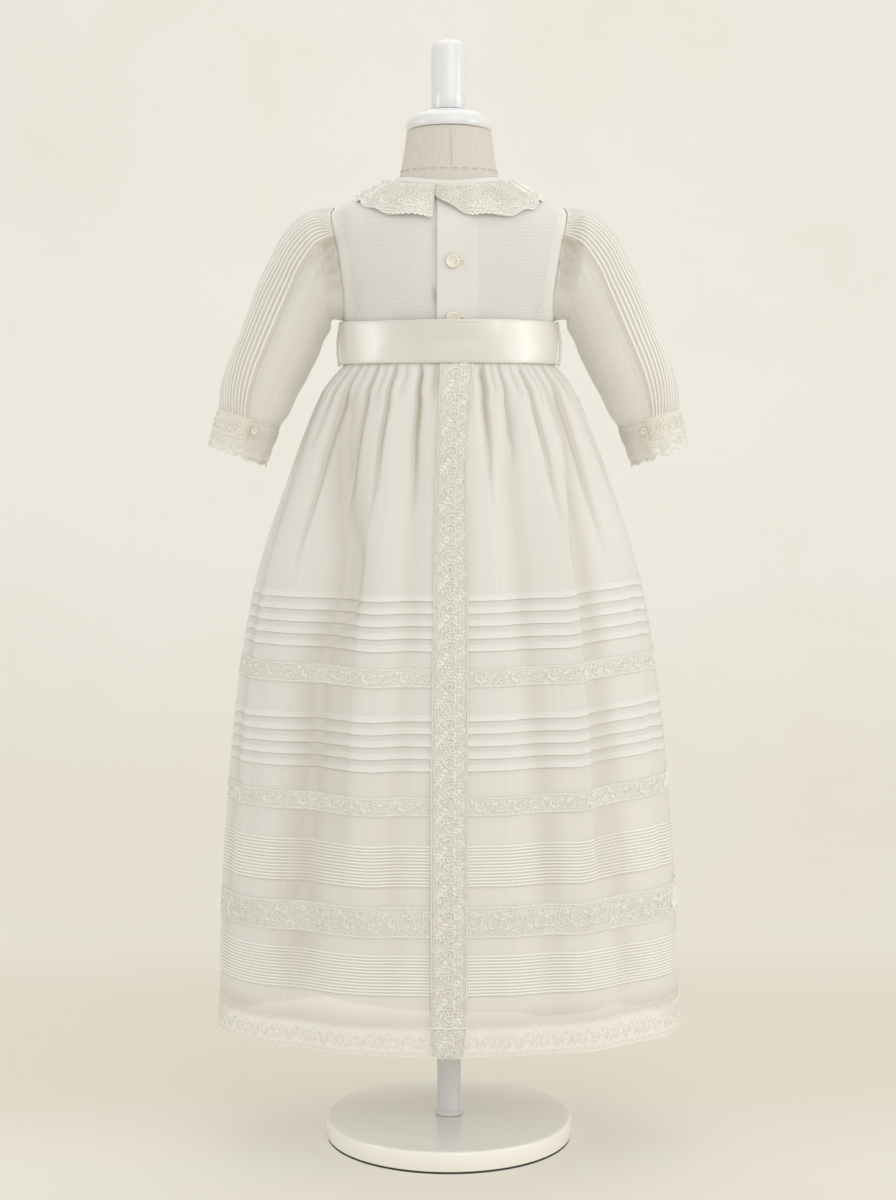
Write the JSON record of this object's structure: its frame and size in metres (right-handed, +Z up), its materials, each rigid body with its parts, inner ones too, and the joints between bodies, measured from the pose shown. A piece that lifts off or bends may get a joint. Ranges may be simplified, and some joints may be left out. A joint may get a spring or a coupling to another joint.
{
  "type": "christening gown on dress form",
  "caption": "Long-sleeved infant christening gown with a gathered, lace-banded and tucked long skirt, worn by a limbless dress form on a pole and round base.",
  "frame": {"origin": "centre of the stand base's underside, on the floor", "axes": "+Z up along the pole; the gown's buttoned back faces -Y and its front +Y; +X is the wearer's right"},
  "size_m": [0.3952, 0.2101, 0.9046],
  "materials": {
    "ivory_organza": "sheer crisp organza, matt",
    "ivory_lining": "plain fine lining, matt",
    "ivory_lace": "cotton lace on fine net, matt",
    "ivory_satin": "satin ribbon, soft sheen",
    "pearl_button": "pearly, glossy",
    "natural_linen": "unbleached linen cover, matt",
    "white_enamel": "white gloss",
    "black_rubber": "matt"
  },
  "bodies": {
    "root": {"base_pad": "black_rubber", "stand_base": "white_enamel", "stand_pole": "white_enamel", "top_post": "white_enamel", "neck_cap": "white_enamel", "form_body": "natural_linen", "bodice_back_right": "ivory_organza", "bodice_front": "ivory_organza", "bodice_back_left": "ivory_organza", "back_placket": "ivory_organza", "neck_binding": "ivory_organza", "collar_lace": "ivory_lace", "back_button_1": "pearl_button", "back_button_2": "pearl_button", "back_button_3": "pearl_button", "sleeve_left": "ivory_organza", "sleeve_right": "ivory_organza", "cuff_band_left": "ivory_lace", "cuff_band_right": "ivory_lace", "cuff_lace_left": "ivory_lace", "cuff_lace_right": "ivory_lace", "cuff_button_left": "pearl_button", "cuff_button_right": "pearl_button", "waist_sash": "ivory_satin", "belt_loop_left": "ivory_organza", "belt_loop_right": "ivory_organza", "skirt_tier_1": "ivory_organza", "skirt_tier_2": "ivory_organza", "skirt_tier_3": "ivory_organza", "skirt_tier_4": "ivory_organza", "skirt_lining": "ivory_lining", "lace_band_1": "ivory_lace", "lace_band_2": "ivory_lace", "lace_band_3": "ivory_lace", "hem_lace": "ivory_lace", "back_lace_strip": "ivory_lace"}
  },
  "joints": []
}
